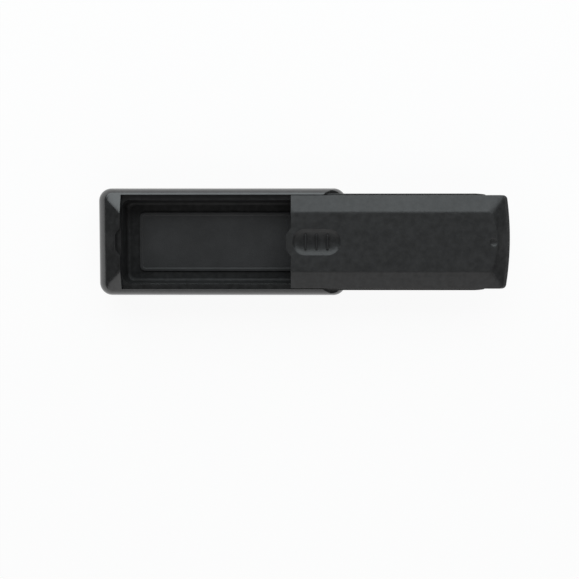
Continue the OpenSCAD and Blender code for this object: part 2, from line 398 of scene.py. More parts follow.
class Recipe:
    """The nodes of one finish, in the order in which they are mixed."""

    def __init__(self, name: str) -> None:
        """Starts a material that holds only a shader and the object's coordinates.

        Args:
            name: The material's name.
        """
        self.material = bpy.data.materials.new(name)
        self.material.use_nodes = True
        self.tree = self.material.node_tree
        self.tree.nodes.clear()
        output = self.node("OutputMaterial")
        self.shader = self.node("BsdfPrincipled")
        self.tree.links.new(self.shader.outputs["BSDF"], output.inputs["Surface"])
        self.place = self.node("TexCoord").outputs["Object"]

    def fill(self, node: bpy.types.Node, values: dict) -> bpy.types.Node:
        """Wires the sockets among some values to a node's inputs, and sets the other values there.

        Args:
            node: The node.
            values: What its inputs hold.

        Returns:
            The node.
        """
        for name, value in values.items():
            if isinstance(value, Socket):
                self.tree.links.new(value, node.inputs[name])
            else:
                node.inputs[name].default_value = value
        return node

    def node(self, kind: str, values: dict | None = None, **settings: object) -> bpy.types.Node:
        """Adds one node.

        Args:
            kind: The node's type, without its ShaderNode prefix.
            values: What its inputs hold.
            settings: The node's own settings.

        Returns:
            The node.
        """
        made = self.tree.nodes.new("ShaderNode" + kind)
        for name, value in settings.items():
            setattr(made, name, value)
        return self.fill(made, values or {})

    def stretched(self, ratio: tuple[float, float, float], turn: float = 0.0) -> Socket:
        """Returns the object's coordinates, turned about Z and scaled along each axis."""
        values = {"Vector": self.place, "Rotation": (0, 0, turn), "Scale": ratio}
        return self.node("Mapping", values).outputs["Vector"]

    def noise(self, size: float, detail: float = 2.0, vector: Socket | None = None) -> Socket:
        """Returns soft noise whose features are about size millimetres wide."""
        values = {"Vector": vector or self.place, "Scale": 1 / (size * MM), "Detail": detail}
        return self.node("TexNoise", values).outputs[0]

    def cells(self, size: float, smooth: float = 0.6) -> Socket:
        """Returns the distance inside soft cells about size millimetres wide."""
        values = {"Vector": self.place, "Scale": 1 / (size * MM), "Smoothness": smooth}
        return self.node("TexVoronoi", values, feature="SMOOTH_F1").outputs["Distance"]

    def span(self, source: Socket, low: float, high: float, start: float, stop: float) -> Socket:
        """Maps source from low..high to start..stop, and holds it there outside that."""
        limits = {"From Min": low, "From Max": high, "To Min": start, "To Max": stop}
        return self.node("MapRange", {"Value": source, **limits}).outputs["Result"]

    def maths(self, operation: str, a: Socket | float, b: Socket | float) -> Socket:
        """Returns the result of one sum on two values."""
        return self.node("Math", {0: a, 1: b}, operation=operation).outputs[0]

    def times(self, a: Socket, b: Socket | float) -> Socket:
        """Returns the product of two values."""
        return self.maths("MULTIPLY", a, b)

    def tint(self, factor: Socket, under: Socket | Colour, over: Colour) -> Socket:
        """Returns the colour under, covered by over as factor goes from 0 to 1."""
        values = {0: factor, 6: under if isinstance(under, Socket) else (*under, 1), 7: (*over, 1)}
        return self.node("Mix", values, data_type="RGBA").outputs[2]

    def mottle(self, source: Socket, colour: Colour, low: float, high: float) -> Socket:
        """Returns the colour, made low to high times as light as source goes from 0.3 to 0.7."""
        dark, light = (tuple(share * c for c in colour) for share in (low, high))
        return self.tint(self.span(source, 0.3, 0.7, 0, 1), dark, light)

    def bump(self, height: Socket, depth: float, under: Socket | None = None) -> Socket:
        """Returns normals raised by height, whose full range is depth millimetres."""
        values = {"Height": height, "Distance": depth * MM, "Strength": 1.0}
        return self.node("Bump", values | ({"Normal": under} if under else {})).outputs["Normal"]

    def edges(self, radius: float) -> Socket:
        """Finds the edges, where wear shows first and where the moulded plastic also gets a painted
        highlight.

        Args:
            radius: How far from an edge it is felt, in millimetres.

        Returns:
            A value that is 1 on edges and 0 on flat stretches.
        """
        rounded = self.node("Bevel", {"Radius": radius * MM}, samples=4).outputs["Normal"]
        true = self.node("NewGeometry").outputs["Normal"]
        facing = self.node("VectorMath", {0: rounded, 1: true}, operation="DOT_PRODUCT")
        return self.span(facing.outputs["Value"], 0.995, 0.9, 0.0, 1.0)

    def dress(self, **inputs: Socket | float | tuple) -> Material:
        """Fills the shader's inputs, whose spaces are written as underscores, and ends the material."""
        self.fill(self.shader, {name.replace("_", " "): value for name, value in inputs.items()})
        return self.material


@dataclass(frozen=True)
class MouldedPlastic:
    """Black plastic from a spark-eroded mould: fine grain, lighter along its edges, partly as wear and
    partly as a painted highlight.
    """

    name: str  # The material's name
    colour: Colour  # Colour of the plastic
    roughness: float  # Roughness between the worn places
    grain: float  # Width of the grain's pits in millimetres
    grain_depth: float  # Depth of the pits in millimetres
    mottle_depth: float  # Height of the slower waves in millimetres
    gloss: float  # Specular level
    worn_and_highlight_w: float = 0.5  # Width of the edge band, which is worn and painted with a highlight, in millimetres
    rub_and_highlight: float = 0.6  # How far the edges are made lighter, partly as wear and partly as a painted highlight
    scuff: float = 0.25  # How far the scuffs are
    vary: float = 0.05  # How far the roughness varies to each side
    polish: float = 0.05  # How much smoother the touched places are
    edge_polish: float = 0.12  # How much smoother the worn edges are

    def material(self) -> Material:
        """Mixes the finish.

        Returns:
            The material.
        """
        mix = Recipe(self.name)
        pits = mix.cells(self.grain)
        fine = mix.noise(self.grain * 0.6, detail=3)
        slow = mix.noise(self.grain * 9, detail=4)
        broad = mix.noise(28, detail=3)
        streaks = mix.noise(0.9, detail=4, vector=mix.stretched((0.05, 1, 1), turn=0.35))
        scuffed = mix.span(streaks, 0.66, 0.74, 0.0, 1.0)
        touched = mix.span(broad, 0.42, 0.7, 0.0, 1.0)
        # Edge mask: wear in the roughness; in the colour, partly wear and partly a painted highlight
        worn = mix.edges(self.worn_and_highlight_w)
        rubbed_and_highlight = tuple(1.6 * c + 0.004 for c in self.colour)
        colour = mix.mottle(slow, self.colour, 0.6, 1.4)
        # Edges painted lighter: partly rubbed wear, partly a painted highlight along the edges; the scuffs
        # below are wear
        colour = mix.tint(mix.times(worn, self.rub_and_highlight), colour, rubbed_and_highlight)
        colour = mix.tint(mix.times(scuffed, self.scuff), colour, rubbed_and_highlight)
        base = mix.span(fine, 0.3, 0.7, self.roughness + self.vary, self.roughness - self.vary)
        rough = mix.maths("SUBTRACT", base, mix.times(touched, self.polish))
        rough = mix.maths("SUBTRACT", rough, mix.times(worn, self.edge_polish))
        normal = mix.bump(slow, self.mottle_depth)
        normal = mix.bump(pits, self.grain_depth, normal)
        normal = mix.bump(fine, self.grain_depth * 0.5, normal)
        return mix.dress(
            Base_Color=colour, Roughness=rough, Normal=normal, Specular_IOR_Level=self.gloss
        )


@dataclass(frozen=True)
class GroundFerrite:
    """Sintered ferrite, ground flat and chipped a little along its edges."""

    name: str = "ferrite"
    colour: Colour = (0.055, 0.055, 0.06)

    def material(self) -> Material:
        """Mixes the finish.

        Returns:
            The material.
        """
        mix = Recipe(self.name)
        lines = mix.noise(0.35, detail=4, vector=mix.stretched((0.04, 1, 1)))
        specks = mix.noise(0.25, detail=2)
        clouds = mix.noise(7, detail=3)
        chips = mix.times(mix.edges(0.9), mix.span(mix.noise(1.4), 0.48, 0.6, 0, 1))
        colour = mix.mottle(clouds, self.colour, 0.7, 1.4)
        colour = mix.tint(mix.span(specks, 0.64, 0.7, 0, 0.6), colour, (0.13, 0.13, 0.135))
        colour = mix.tint(chips, colour, (0.1, 0.1, 0.105))
        rough = mix.span(lines, 0.3, 0.7, 0.38, 0.6)
        normal = mix.bump(chips, -0.25, mix.bump(lines, 0.012, mix.bump(specks, 0.02)))
        return mix.dress(Base_Color=colour, Roughness=rough, Normal=normal)


@dataclass(frozen=True)
class ZincSteel:
    """Zinc-plated steel strip, rolled lengthwise, with a cloudy passivated film."""

    name: str = "zinc_steel"
    bright: Colour = (0.62, 0.63, 0.64)
    dull: Colour = (0.46, 0.47, 0.49)

    def material(self) -> Material:
        """Mixes the finish.

        Returns:
            The material.
        """
        mix = Recipe(self.name)
        rolled = mix.noise(0.3, detail=5, vector=mix.stretched((0.03, 1, 1)))
        film = mix.noise(5, detail=4)
        grit = mix.noise(0.2, detail=2)
        worn = mix.edges(0.6)
        colour = mix.tint(mix.span(film, 0.32, 0.68, 0, 1), self.dull, self.bright)
        colour = mix.tint(mix.times(worn, 0.5), colour, (0.72, 0.72, 0.73))
        rough = mix.span(film, 0.3, 0.7, 0.42, 0.3)
        rough = mix.maths("ADD", rough, mix.span(rolled, 0.3, 0.7, -0.06, 0.06))
        normal = mix.bump(grit, 0.006, mix.bump(rolled, 0.01))
        return mix.dress(Base_Color=colour, Roughness=rough, Normal=normal, Metallic=1.0)


@dataclass(frozen=True)
class AcrylicFoam:
    """Soft acrylic foam, whose cut edges show its closed cells."""

    name: str = "acrylic_foam"
    colour: Colour = (0.6, 0.6, 0.56)

    def material(self) -> Material:
        """Mixes the finish.

        Returns:
            The material.
        """
        mix = Recipe(self.name)
        cells = mix.cells(0.3)
        clouds = mix.noise(3, detail=3)
        colour = mix.mottle(clouds, self.colour, 0.82, 1)
        rough = mix.span(clouds, 0.3, 0.7, 0.7, 0.85)
        return mix.dress(Base_Color=colour, Roughness=rough, Normal=mix.bump(cells, 0.05))


@dataclass(frozen=True)
class EmbossedSheet:
    """A thin matt plastic sheet with a fine pebbled emboss."""

    name: str = "liner_sheet"
    colour: Colour = (0.022, 0.022, 0.023)

    def material(self) -> Material:
        """Mixes the finish.

        Returns:
            The material.
        """
        mix = Recipe(self.name)
        pebbles = mix.cells(0.45, smooth=0.4)
        fine = mix.noise(0.2, detail=3)
        clouds = mix.noise(14, detail=3)
        colour = mix.mottle(clouds, self.colour, 0.75, 1.25)
        colour = mix.tint(mix.times(mix.edges(0.4), 0.5), colour, (0.04, 0.04, 0.041))
        rough = mix.span(fine, 0.3, 0.7, 0.62, 0.5)
        normal = mix.bump(fine, 0.008, mix.bump(pebbles, 0.03))
        return mix.dress(Base_Color=colour, Roughness=rough, Normal=normal)


# ---- The object ----


def finish_piece(
    solid: Solid,
    name: str,
    body: str,
    node: str,
    finishes: Sequence[Material],
    choose: Callable[[Vector, Vector], int] | None = None,
) -> Object:
    """Turns a shaped solid into a piece that stands for a node of the frame.

    Args:
        solid: The shape, in millimetres.
        name: The piece's name.
        body: The body that it rides on.
        node: The node that it replaces.
        finishes: Its materials.
        choose: Which of them a face with that centre and normal takes, if not the first.

    Returns:
        The piece.
    """
    piece = solid.body
    piece.name = name
    piece.data.name = name
    piece.data.materials.clear()
    for finish in finishes:
        piece.data.materials.append(finish)
    bm = bmesh.new()
    bm.from_mesh(piece.data)
    bmesh.ops.remove_doubles(bm, verts=bm.verts, dist=MERGE)
    bmesh.ops.dissolve_degenerate(bm, dist=MERGE, edges=bm.edges)
    bmesh.ops.holes_fill(bm, edges=[e for e in bm.edges if e.is_boundary], sides=4)
    bmesh.ops.connect_verts_concave(bm, faces=bm.faces)
    for face in bm.faces:
        face.smooth = True
        if choose:
            face.material_index = choose(face.calc_center_median(), face.normal)
    bmesh.ops.scale(bm, vec=(MM, MM, MM), verts=bm.verts)
    bm.to_mesh(piece.data)
    bm.free()
    piece.data.set_sharp_from_angle(angle=SHARP)
    shading = piece.modifiers.new("shading", "WEIGHTED_NORMAL")
    shading.keep_sharp = True
    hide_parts(node)
    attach(piece, body)
    return piece


@dataclass(frozen=True)
class SlideSizes:
    """What the tray and the lid share, in millimetres."""

    half_l: float  # Half the case's length
    half_w: float  # Half the case's width
    crown_z: float  # Height of the flat top
    nose_x: float  # The closed lid's foremost x
    lid_z: float  # Height of the lid's underside
    travel: float  # The lid's travel
    rim_h: float = 22.0  # Height of the side rims
    channel_d: float = 2.6  # Depth of the lid's channel
    block_l: float = 13.3  # Length of the fixed block at the closed end
    seam_gap: float = 0.25  # Clearance between the closed lid and the block
    side_gap: float = 0.25  # Side clearance of the lid
    lid_half: float = 24.8  # Half the lid's width between its runners
    runner_w: float = 0.9  # How far each runner stands out
    runner_t: float = 1.1  # Thickness of each runner
    runner_gap: float = 0.2  # Clearance above and below the runners
    side_slope: float = 9.1  # Width of the sloped band along each long side
    block_slope: float = 4.6  # Length of the slope at the closed end
    nose_slope: float = 5.1  # Length of the slope at the nose above the rims
    nose_reach: float = 2.1  # How much further the nose reaches below the rims
    nose_lip: float = 0.8  # Thickness of the nose's lip
    crown_in: float = 5.2  # Distance from the closed end to the foot of the crown
    nose_bow: float = 1.6  # How far the nose's middle stands ahead of its corners
    flat_bow: float = 3.0  # The same for the ends of the flat top
    foot_r: float = 2.4  # Plan radius at the crown's foot
    top_r: float = 3.6  # Plan radius of the flat top's corners
    tongue_l: float = 2.6  # Length of the lid's tongue
    tongue_root: float = 14.8  # Width of the tongue at its root
    tongue_tip: float = 7.4  # Width of the tongue at its tip
    tongue_t: float = 3.0  # Thickness of the tongue
    bottom_ease: float = 0.25  # How far the crown's bottom edge is rounded
    lip_ease: float = 0.3  # How far the nose's lip is rounded
    top_ease: float = 0.9  # How far the flat top's edge is rounded

    @classmethod
    def from_frame(cls) -> "SlideSizes":
        """Reads what the frame gives, and keeps the rest as written.

        Returns:
            The sizes.
        """
        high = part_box("case_tray")[1] / MM
        lid_low, lid_high = (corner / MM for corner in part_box("sliding_lid"))
        travel = -frame["joints"][0]["range_m"][0] / MM
        lug_d = 1.5
        return cls(
            half_l=high.x,
            half_w=high.y,
            crown_z=high.z,
            nose_x=lid_high.x - travel,
            lid_z=lid_low.z + lug_d,
            travel=travel,
        )

    @property
    def ledge_z(self) -> float:
        """Height of the ledges that carry the lid."""
        return self.rim_h - self.channel_d

    @property
    def block_x(self) -> float:
        """The closed lid's lowest x beside its tongue."""
        return self.block_l - self.half_l

    @property
    def face_x(self) -> float:
        """Where the end block's inner face stands."""
        return self.block_x - self.seam_gap

    @property
    def break_x(self) -> float:
        """How far along the tongue its edges are broken, short of the rounded crease."""
        return self.block_x - self.tongue_l + self.seam_gap

    @property
    def channel_half(self) -> float:
        """Half the width of the channel between the rims."""
        return self.lid_half + self.side_gap

    def crown(self, ease: float, foot_r: float) -> Solid:
        """Raises the crown that the end block and the closed lid share.

        Args:
            ease: How far its eaves are rounded to each side.
            foot_r: Plan radius of its foot's corners.

        Returns:
            The crown, from the lid's underside to the flat top.
        """
        x0 = self.crown_in - self.half_l
        eaves_x = self.nose_x - self.nose_reach
        bottom = Level(x0, self.nose_x, self.lid_half, foot_r, self.lid_z, 0.0, self.nose_bow)
        bottom = replace(bottom, ease=self.bottom_ease)
        lip = replace(bottom, z=self.lid_z + self.nose_lip, ease=self.lip_ease)
        eaves = replace(bottom, x1=eaves_x, z=self.rim_h, ease=ease)
        flat = Level(
            x0 + self.block_slope,
            eaves_x - self.nose_slope,
            self.lid_half - self.side_slope,
            self.top_r,
            self.crown_z,
            self.flat_bow,
            self.flat_bow,
            self.top_ease,
        )
        return Solid(loft([bottom, lip, eaves, flat], FINE))

    def behind(self, x: float) -> Solid:
        """Returns a block that holds all of the case with a lower x than that."""
        return Solid(block((-2 * self.half_l, x, -self.half_w, self.half_w, 0, 2 * self.crown_z)))

    def tongue(self, grow: float = 0.0) -> Solid:
        """Makes the tongue's space at the lid's closed end.

        Args:
            grow: How much it is grown on its sides and below.

        Returns:
            A wedge that reaches above the flat top.
        """
        z0 = self.crown_z - self.tongue_t - grow
        tip = self.block_x - self.tongue_l - grow
        bm = block((tip, self.block_x + OVER + grow, -1, 1, z0, self.crown_z + OVER))
        parts = [*bm.verts, *bm.edges, *bm.faces]
        bmesh.ops.bisect_plane(bm, geom=parts, plane_co=(self.block_x, 0, 0), plane_no=(1, 0, 0))
        for vert in bm.verts:
            wide = self.tongue_tip if vert.co.x < tip + MERGE else self.tongue_root
            vert.co.y *= wide / 2 + grow
        return Solid(bm)


@dataclass
class CaseTray:
    """The fixed tray: its outside, end block, key space, slide and pockets."""

    slide: SlideSizes  # What it shares with the lid
    finish: Material  # The material of its outside
    inside: Material  # The material of the key space
    corner_r: float = 6.8  # Plan radius of the corners
    foot_r: float = 1.5  # Rounding along the outer bottom edge
    shoulder_h: float = 8.0  # Height over which the walls round over
    side_shoulder: float = 2.8  # How far the long walls draw in
    end_shoulder: float = 4.6  # How far the end walls draw in
    rim_dip: float = 0.5  # How far the rims fall towards their outer edge
    block_r: float = 5.0  # Plan radius of the end block's corners at its foot
    seat: float = 0.08  # How far the rims' slope reaches under the end block's foot
    sweep: float = math.radians(62)  # Sweep of the shoulder's arc
    ledge_w: float = 2.8  # Width of the ledges
    end_wall: float = 5.0  # Thickness of the end wall under the lid
    rim_stop: float = 8.7  # Distance from the open end to the end of the rims
    rim_fall: float = 5.8  # Length over which the rims round down
    cavity_r: float = 4.0  # Plan radius of the key space's corners
    cavity_fillet: float = 2.0  # Rounding between its floor and walls
    cavity_draft: float = 0.5  # Draft of its walls
    core_wall: float = 1.8  # Wall thickness round the hollows underneath
    core_rib: float = 1.5  # Thickness of the ribs between them
    side_core_h: float = 15.0  # Height of the hollows in the side walls
    block_core_h: float = 16.0  # Height of the hollows in the end block
    side_core_n: int = 5  # Number of hollows in each side wall
    block_core_n: int = 4  # Number of hollows in the end block
    pocket_gap: float = 0.3  # Clearance round each magnet set
    brk: float = 0.22  # Size of the small breaks along its edges
    rim_ease: float = 0.35  # How far the crease between the shoulder and the rims is rounded
    ledge_ease: float = 0.176  # How far the key space's rim is rounded
    pocket_edges: Edges = Edges(0.25, 0.0, 0.2)
    side_core_edges: Edges = Edges(0.6, 0.4, 0.25)
    block_core_edges: Edges = Edges(0.8, 0.5, 0.25)
    foot_n: int = 5  # Steps round the outer bottom edge
    shoulder_n: int = 12  # Steps over the shoulder
    fillet_n: int = 6  # Steps over the rounding between the key space's floor and walls
    runout_n: int = 144  # Steps round the cylinder that the rims' ends follow
    step: float = 0.01  # Small step that keeps faces cut one after another out of one plane

    @property
    def cavity_half(self) -> float:
        """Half the width of the key space at its top."""
        return self.slide.channel_half - self.ledge_w

    @property
    def cavity_x1(self) -> float:
        """Where the key space ends under the lid."""
        return self.slide.half_l - self.end_wall

    @property
    def floor_z(self) -> float:
        """Height of the key space's floor."""
        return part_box("floor_liner")[0].z / MM

    def outside(self) -> Solid:
        """Lofts the outside from the rest face up to the rims.

        Returns:
            The outside, still solid.
        """
        s = self.slide

        def level(end_cut: float, side_cut: float, z: float) -> Level:
            """Returns the outline drawn in by those cuts."""
            x = s.half_l - end_cut
            return Level(-x, x, s.half_w - side_cut, self.corner_r - side_cut, z)

        levels = []
        for i in range(self.foot_n + 1):
            a = math.pi / 2 * i / self.foot_n
            cut = self.foot_r * (1 - math.sin(a))
            levels.append(level(cut, cut, self.foot_r * (1 - math.cos(a))))
        for i in range(self.shoulder_n + 1):
            a = self.sweep * i / self.shoulder_n
            share = (1 - math.cos(a)) / (1 - math.cos(self.sweep))
            rise = math.sin(a) / math.sin(self.sweep)
            z = s.rim_h - self.shoulder_h * (1 - rise) - self.rim_dip * rise
            levels.append(level(self.end_shoulder * rise**2, self.side_shoulder * share, z))
        levels[-1] = replace(levels[-1], ease=self.rim_ease)
        foot_x = s.half_l - s.crown_in
        foot = Level(-foot_x, foot_x, s.lid_half, self.block_r, s.rim_h).inset(self.seat)
        return Solid(loft([*levels, foot], FINE))

    def key_space(self) -> Solid:
        """Lofts the key space, with drafted walls and a rounded floor edge.

        Returns:
            The space, as a tool for cutting.
        """
        z1 = self.slide.ledge_z
        x0 = self.slide.face_x + 2 * self.step
        mouth = Level(x0, self.cavity_x1, self.cavity_half, self.cavity_r, z1)
        levels = []
        for i in range(self.fillet_n + 1):
            a = math.pi / 2 * i / self.fillet_n
            cut = self.cavity_draft + self.cavity_fillet * (1 - math.sin(a))
            z = self.floor_z + self.cavity_fillet * (1 - math.cos(a))
            levels.append(replace(mouth.inset(cut), corner=self.cavity_r, z=z))
        brim = replace(mouth.inset(-self.brk), x0=x0)
        levels += [replace(mouth, z=z1 - self.brk, ease=self.ledge_ease), brim]
        return Solid(loft([*levels, replace(brim, z=z1 + OVER)], Steps(end=12, corner=10, side=40)))

    def channel(self) -> list[Solid]:
        """Makes the space that the lid slides in.

        Returns:
            The channel between the rims, and the grooves beside it.
        """
        s = self.slide
        x0 = s.face_x + self.step
        x1 = s.half_l + OVER
        wall = Level(x0, x1, s.channel_half, MERGE, s.ledge_z)
        brim = replace(wall, z=s.rim_h - self.brk, ease=self.brk)
        flared = replace(wall, half_w=s.channel_half + self.brk, z=s.rim_h)
        levels = [wall, brim, flared, replace(flared, z=s.crown_z + OVER)]
        room = loft(levels, Steps(end=1, corner=1, side=1, ease=3))
        groove_h = s.runner_t + 2 * s.runner_gap
        half = s.channel_half + s.runner_w
        groove = block((x0, x1, -half, half, s.ledge_z, s.ledge_z + groove_h))
        return [Solid(room), Solid(groove)]

    def runout(self) -> Solid:
        """Makes what is cut away where the rims round down to the low open end.

        Returns:
            A block with the rounding's cylinder taken out of it.
        """
        s = self.slide
        margin = 1
        fall = s.channel_d
        radius = (self.rim_fall**2 + fall**2) / (2 * fall)
        x0 = s.half_l - self.rim_stop - self.rim_fall
        y = s.half_w + margin
        waste = block((x0, s.half_l + 2 * margin, -y, y, s.ledge_z, s.rim_h + margin))
        place = Matrix.Translation((x0, 0, s.rim_h - radius))
        bm = bmesh.new()
        bmesh.ops.create_cone(
            bm,
            cap_ends=True,
            segments=self.runout_n,
            radius1=radius,
            radius2=radius,
            depth=4 * s.half_w,
            matrix=place @ Matrix.Rotation(math.pi / 2, 4, "X"),
        )
        return Solid(waste).cut(Solid(bm))

    def hollows(self) -> Solid:
        """Makes the magnets' pockets and the moulding hollows in the underside.

        Returns:
            All of them, as one tool for cutting.
        """
        s = self.slide
        g = self.pocket_gap
        forms = []
        for end in End:
            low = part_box(f"pole_plate_{end.name.lower()}_front")[0] / MM
            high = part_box(f"pole_plate_{end.name.lower()}_rear")[1] / MM
            pocket = (low.x - g, high.x + g, low.y - g, high.y + g, -OVER, high.z)
            forms.append(bar(pocket, self.pocket_edges))
        y0 = self.cavity_half + self.core_wall
        y1 = s.half_w - self.core_wall
        x0 = s.face_x + self.core_wall
        cell = (self.cavity_x1 - x0 + self.core_rib) / self.side_core_n
        for i in range(self.side_core_n):
            x = x0 + i * cell
            for low, high in ((y0, y1), (-y1, -y0)):
                hollow = (x, x + cell - self.core_rib, low, high, -OVER, self.side_core_h)
                forms.append(bar(hollow, self.side_core_edges))
        span = 2 * (s.half_w - self.corner_r)
        cell = (span + self.core_rib) / self.block_core_n
        x0 = self.core_wall - s.half_l
        x1 = s.face_x - self.core_wall
        for i in range(self.block_core_n):
            y = i * cell - span / 2
            hollow = (x0, x1, y, y + cell - self.core_rib, -OVER, self.block_core_h)
            forms.append(bar(hollow, self.block_core_edges))
        return Solid(*forms)

    def build(self) -> Object:
        """Shapes and dresses the tray.

        Returns:
            The piece that stands for case_tray.
        """
        s = self.slide
        end_block = s.crown(0, self.block_r).keep(s.behind(s.face_x)).cut(s.tongue(s.seam_gap))
        end_block.broken(self.brk, lambda p: p.x > s.break_x)
        tray = self.outside().cut(self.runout()).join(end_block)
        tray.cut(*self.channel(), self.key_space(), self.hollows())
        near = 0.1

        def choose(centre: Vector, normal: Vector) -> int:
            """Returns 1 in the key space and 0 elsewhere."""
            within = s.face_x < centre.x < self.cavity_x1 and abs(centre.y) < self.cavity_half
            return int(within and self.floor_z - near < centre.z < s.ledge_z + near)

        return finish_piece(
            tray,
            "case_tray_moulding",
            "case",
            "case_tray",
            [self.finish, self.inside],
            choose,
        )


@dataclass
class SlidingLid:
    """The lid: its crowned cover, runners, stop lugs, finger scoop and dimple."""

    slide: SlideSizes  # What it shares with the tray
    finish: Material  # The material of its slopes and sides
    grained: Material  # The material of its flat top
    wall: float = 1.8  # Wall thickness
    flange_w: float = 2.4  # Width of the thick flange along each side
    draft: float = 0.3  # How much the hollow draws in
    scoop_l: float = 25.0  # Length of the finger scoop
    scoop_w: float = 13.4  # Width of the scoop
    scoop_d: float = 2.0  # Depth of the scoop
    scoop_in: float = 13.6  # Distance from the closed end to the scoop's middle
    grip_n: int = 3  # Number of grip ribs
    grip_pitch: float = 5.8  # Spacing of the ribs
    grip_t: float = 1.1  # Thickness of each rib
    grip_l: float = 8.0  # Length of each rib
    grip_sink: float = 0.6  # Depth of the ribs' tops below the flat top
    dimple_dia: float = 4.4  # Diameter of the dimple near the nose
    dimple_d: float = 0.5  # Depth of the dimple
    dimple_in: float = 9.6  # Distance from the nose to the dimple's middle
    lug_w: float = 6.0  # Width of each stop lug
    lug_t: float = 3.0  # Thickness of each lug
    lug_x: float = -31.75  # Where the closed lid's lugs begin
    lug_y: float = 15.0  # Distance of each lug's middle from the centre line
    lug_z: float = 18.1  # Height of the lugs' bottom
    rim_end: float = 50.2  # Where the runners end on the closed lid
    runner_root: float = 1.0  # How far they reach into the lid's sides
    runner_lead: float = 5.0  # Length of the taper at their open end
    brk: float = 0.14  # Size of the small breaks along its edges
    lip: float = 0.45  # Size of the rounding round the scoop
    lip_share: float = 0.6  # How deep that rounding is, as a share of its size
    scoop_n: int = 10  # Steps down the scoop's wall
    scoop_end: float = 0.97  # Share of a quarter turn at which its wall meets its floor
    eaves_ease: float = 0.5  # How far the crease above the rims is rounded
    hollow_ease: float = 0.5  # How far the hollow's creases are rounded
    runner_r: float = 0.3  # Radius of the runners' corners from above
    runner_tail: float = 0.5  # Length of the taper at their closed end
    runner_eases: tuple[float, float] = (0.2, 0.45)  # How far their lower and upper edges are rounded
    lug_edges: Edges = Edges(0.4, 0.35)
    grip_edges: Edges = Edges(0.5, 0.45)

    @property
    def scoop_x(self) -> float:
        """Where the scoop's middle lies on the closed lid."""
        return self.slide.block_x + self.scoop_in

    def cover(self) -> Solid:
        """Cuts the closed lid's outside from the crown.

        Returns:
            The cover, still solid, with its tongue.
        """
        s = self.slide
        past = 1
        cover = s.crown(self.eaves_ease, s.foot_r).cut(s.behind(s.block_x).cut(s.tongue()))
        x1 = s.face_x + past
        z0 = s.lid_z + s.nose_lip
        return cover.broken(self.brk, lambda p: s.break_x < p.x < x1 and p.z > z0)

    def hollow(self) -> Solid:
        """Lofts the hollow underside, and leaves the lugs' roots standing in it.

        Returns:
            The hollow, as a tool for cutting.
        """
        s = self.slide
        inner = s.lid_half - self.flange_w
        rise = s.crown_z - s.rim_h
        eaves_z = s.rim_h + self.flange_w * rise / s.side_slope - self.wall
        x0 = s.block_x + self.wall
        x1 = s.nose_x - s.nose_reach - s.nose_bow - self.wall
        flat_x1 = s.nose_x - s.nose_reach - s.nose_slope - s.flat_bow
        flat_half = s.lid_half - s.side_slope
        d = self.draft
        low = Level(x0, x1 + d, inner + d, s.foot_r, s.lid_z - OVER)
        mid = Level(x0 + d, x1, inner, s.foot_r, eaves_z, ease=self.hollow_ease)
        top = Level(x0 + 2 * d, flat_x1, flat_half, s.foot_r, s.crown_z - self.wall)
        levels = [low, mid, replace(top, ease=self.hollow_ease)]
        roots = [self.lug(side, 0, 2 * s.crown_z) for side in (-1, 1)]
        return Solid(loft(levels, Steps(end=8, corner=6, side=20, ease=3))).cut(Solid(*roots))

    def lug(self, side: int, z0: float, z1: float) -> BMesh:
        """Makes one stop lug.

        Args:
            side: 1 on the rear side and -1 on the front side.
            z0: Height of its bottom.
            z1: Height of its top.

        Returns:
            The lug, on the closed lid.
        """
        y = side * self.lug_y
        half = self.lug_w / 2
        limits = (self.lug_x, self.lug_x + self.lug_t, y - half, y + half, z0, z1)
        return bar(limits, self.lug_edges)

    def dish(self, grow: float, z: float) -> Solid:
        """Lofts the scoop's space.

        Args:
            grow: How much it is grown.
            z: Height of its rim.

        Returns:
            The space, at its place on the closed lid.
        """
        straight = (self.scoop_l - self.scoop_w) / 2

        def level(half: float, height: float) -> Level:
            """Returns the slot's outline at that half width and height."""
            end = straight + half
            return Level(self.scoop_x - end, self.scoop_x + end, half, half - MERGE, height)

        levels = []
        for i in range(self.scoop_n + 1):
            a = math.pi / 2 * min(i / self.scoop_n, self.scoop_end)
            half = (self.scoop_w / 2 + grow) * math.cos(a)
            levels.append(level(half, z - (self.scoop_d + grow) * math.sin(a)))
        if not grow:
            mouth = self.scoop_w / 2 + self.lip
            rim = [level(mouth + OVER, z + OVER), level(mouth, z)]
            levels[:2] = [*rim, replace(levels[0], z=z - self.lip * self.lip_share)]
        return Solid(loft(levels, Steps(end=1, corner=14, side=12)))

    def dimple(self) -> Solid:
        """Makes the ball that sinks the round dimple near the nose.

        Returns:
            The ball.
        """
        radius = (self.dimple_dia**2 / 4 + self.dimple_d**2) / (2 * self.dimple_d)
        place = (self.slide.nose_x - self.dimple_in, 0, self.slide.crown_z + radius - self.dimple_d)
        bm = bmesh.new()
        move = Matrix.Translation(place)
        bmesh.ops.create_uvsphere(bm, u_segments=96, v_segments=64, radius=radius, matrix=move)
        return Solid(bm)

    def ribs(self) -> Solid:
        """Makes the grip ribs, which stand on the scoop's floor.

        Returns:
            The ribs.
        """
        top = self.slide.crown_z
        z0 = top - self.scoop_d - self.wall / 2
        y = self.grip_l / 2
        half = self.grip_t / 2
        forms = []
        for i in range(self.grip_n):
            x = self.scoop_x + (i - (self.grip_n - 1) / 2) * self.grip_pitch
            rib = (x - half, x + half, -y, y, z0, top - self.grip_sink)
            forms.append(bar(rib, self.grip_edges))
        return Solid(*forms)

